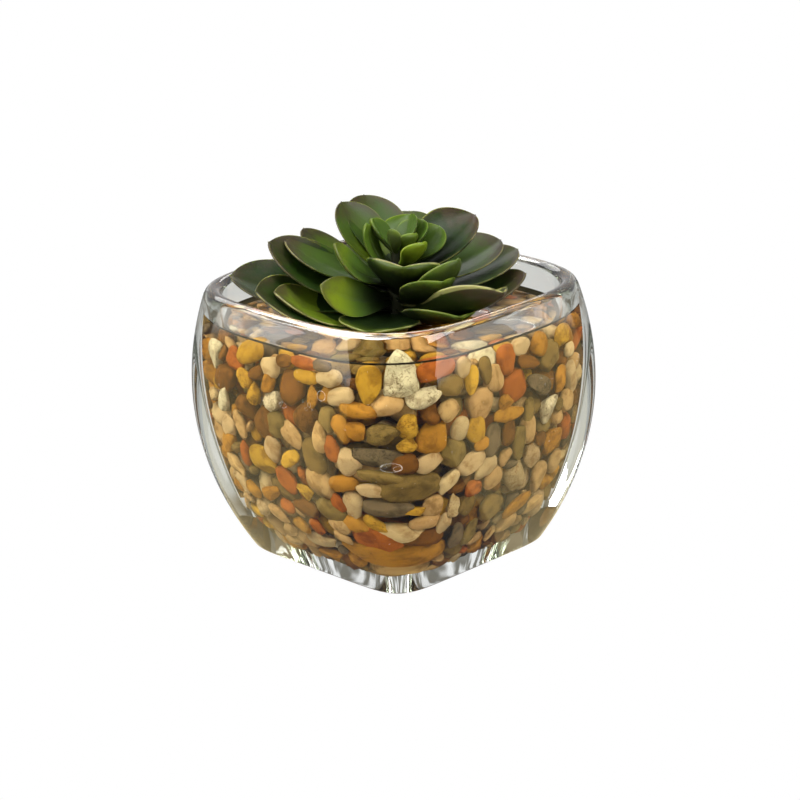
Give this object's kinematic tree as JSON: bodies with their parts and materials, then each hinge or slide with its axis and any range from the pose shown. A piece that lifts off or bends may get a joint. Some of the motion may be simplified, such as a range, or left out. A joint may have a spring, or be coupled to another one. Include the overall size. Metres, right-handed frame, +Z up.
{
  "type": "artificial echeveria in a glass cube",
  "caption": "Artificial echeveria rosette on a short stem, standing in river pebbles cast in clear resin in a bulged square clear-glass cube bowl.",
  "frame": {"origin": "centre of the glass's flat base, on the surface it stands on", "axes": "+Z up; X and Y square to the glass's flats, and the corner at +X -Y faces the picture's camera"},
  "size_m": [0.1082, 0.1082, 0.1125],
  "materials": {
    "clear_glass": "polished",
    "clear_resin": "glossy, cast",
    "river_pebble": "tumbled, wet look",
    "stem_green": "matte",
    "leaf_green": "satin, with a purple-brown blush at the tips and edges"
  },
  "bodies": {
    "root": {"glass_cube": "clear_glass", "resin": "clear_resin", "pebble_bed": "river_pebble", "stem": "stem_green", "rosette": "leaf_green"}
  },
  "joints": []
}
